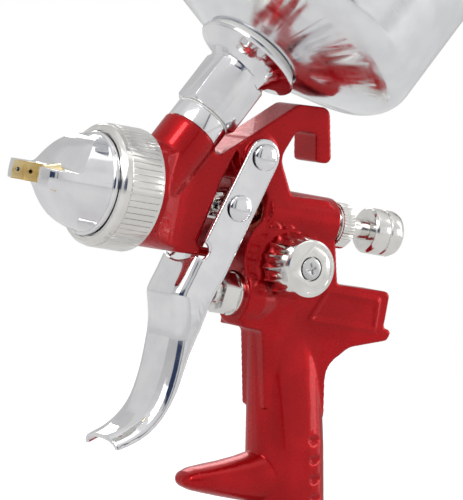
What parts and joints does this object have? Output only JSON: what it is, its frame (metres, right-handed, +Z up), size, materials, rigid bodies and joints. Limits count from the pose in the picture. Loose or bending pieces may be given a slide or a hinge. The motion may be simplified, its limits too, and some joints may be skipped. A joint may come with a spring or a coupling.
{
  "type": "hvlp spray gun",
  "caption": "Gravity-feed paint spray gun: red cast body with hanging hook, chromed trigger, knurled cap ring with horned air cap, tilted metal cup, and fan, fluid and air controls.",
  "frame": {"origin": "centre of the air inlet's open end, below the handle", "axes": "+Z up with the barrel level, -X along the spray, +Y to the gun's right; the barrel axis is parallel to X"},
  "size_m": [0.1679, 0.0974, 0.3187],
  "materials": {
    "red_enamel": "deep red high-gloss enamel over a cast body",
    "chrome_plate": "bright chrome plate",
    "nickel_plate": "bright nickel plate with fine machining marks",
    "polished_aluminium": "polished spun aluminium",
    "brass": "turned brass",
    "stainless": "ground stainless steel",
    "spring_steel": "drawn spring wire",
    "white_nylon": "white nylon or PTFE",
    "black_rubber": "black nitrile rubber",
    "black_nylon": "black nylon"
  },
  "bodies": {
    "gun": {"gun_body": "red_enamel", "fluid_nozzle": "brass", "air_baffle": "black_nylon", "feed_nipple": "nickel_plate", "nipple_washer": "white_nylon", "trigger_stud": "chrome_plate", "stud_screw": "chrome_plate", "needle_packing": "white_nylon", "packing_screw": "nickel_plate", "needle_spring": "spring_steel", "needle_guide": "nickel_plate", "valve_gland": "nickel_plate", "valve_packing": "white_nylon", "valve_seat": "brass", "valve_spring": "spring_steel", "fan_bush": "nickel_plate", "fan_seal": "black_rubber", "air_inlet": "nickel_plate", "inlet_washer": "white_nylon"},
    "air_cap": {"air_cap": "chrome_plate"},
    "cap_ring": {"cap_ring": "nickel_plate"},
    "cup": {"cup_adapter": "chrome_plate", "paint_filter": "white_nylon", "cup_gasket": "white_nylon", "cup_nut": "nickel_plate", "cup_shell": "polished_aluminium"},
    "lid_seal": {"lid_gasket": "white_nylon"},
    "lid": {"cup_lid": "polished_aluminium"},
    "vent": {"drip_vent": "black_nylon"},
    "trigger": {"trigger": "chrome_plate", "needle_puller": "nickel_plate", "puller_screws": "chrome_plate"},
    "needle": {"fluid_needle": "stainless", "needle_collar": "brass"},
    "valve": {"valve_stem": "stainless", "valve_disc": "black_rubber"},
    "fan_control": {"fan_stem": "stainless", "fan_knob": "nickel_plate", "fan_knob_screw": "stainless"},
    "lock_ring": {"lock_ring": "nickel_plate"},
    "needle_stop": {"needle_stop": "nickel_plate"},
    "fluid_control": {"fluid_knob": "nickel_plate"}
  },
  "joints": [
    {"name": "trigger_pull", "type": "hinge", "parent": "gun", "child": "trigger", "pos_m": [-0.05075, 0, 0.17418], "axis": [0, -1, 0], "range_deg": [0, 12], "stiffness_Nm_per_rad": 1.2, "springref_deg": -14.32},
    {"name": "needle_slide", "type": "slide", "parent": "gun", "child": "needle", "axis": [1, 0, 0], "range_m": [0, 0.00375], "deforming": ["needle_spring"]},
    {"name": "valve_slide", "type": "slide", "parent": "gun", "child": "valve", "axis": [1, 0, 0], "range_m": [0, 0.00982], "deforming": ["valve_spring"]},
    {"name": "air_cap_turn", "type": "hinge", "parent": "gun", "child": "air_cap", "pos_m": [-0.10485, 0, 0.15738], "axis": [1, 0, 0], "range_deg": [0, 90]},
    {"name": "cap_ring_turn", "type": "hinge", "parent": "gun", "child": "cap_ring", "pos_m": [-0.09785, 0, 0.15738], "axis": [-1, 0, 0], "range_deg": [0, 180]},
    {"name": "cup_turn", "type": "hinge", "parent": "gun", "child": "cup", "pos_m": [-0.06409, 0, 0.19126], "axis": [0.5314, 0, 0.8471], "range_deg": [0, 180]},
    {"name": "lid_lift", "type": "slide", "parent": "cup", "child": "lid_seal", "axis": [0.5314, 0, 0.8471], "range_m": [0, 0.08]},
    {"name": "lid_turn", "type": "hinge", "parent": "lid_seal", "child": "lid", "pos_m": [-0.00139, 0, 0.29122], "axis": [0.5314, 0, 0.8471], "range_deg": [0, 90]},
    {"name": "vent_lift", "type": "slide", "parent": "lid", "child": "vent", "axis": [0.5314, 0, 0.8471], "range_m": [0, 0.01]},
    {"name": "fan_turn", "type": "hinge", "parent": "gun", "child": "fan_control", "pos_m": [-0.03385, -0.015, 0.14268], "axis": [0, -1, 0], "range_deg": [0, 270]},
    {"name": "lock_ring_turn", "type": "hinge", "parent": "gun", "child": "lock_ring", "pos_m": [-0.01235, 0, 0.15738], "axis": [1, 0, 0], "range_deg": [0, 180]},
    {"name": "stop_slide", "type": "slide", "parent": "gun", "child": "needle_stop", "axis": [1, 0, 0], "range_m": [0, 0.002]},
    {"name": "fluid_turn", "type": "hinge", "parent": "needle_stop", "child": "fluid_control", "pos_m": [0.00415, 0, 0.15738], "axis": [1, 0, 0], "range_deg": [0, 724]}
  ],
  "couplings": [
    {"joint": "needle_slide", "follows": "trigger_pull", "m_per_rad": 0.01775},
    {"joint": "valve_slide", "follows": "trigger_pull", "m_per_rad": 0.0468},
    {"joint": "fluid_turn", "follows": "stop_slide", "rad_per_m": 6283.2}
  ]
}
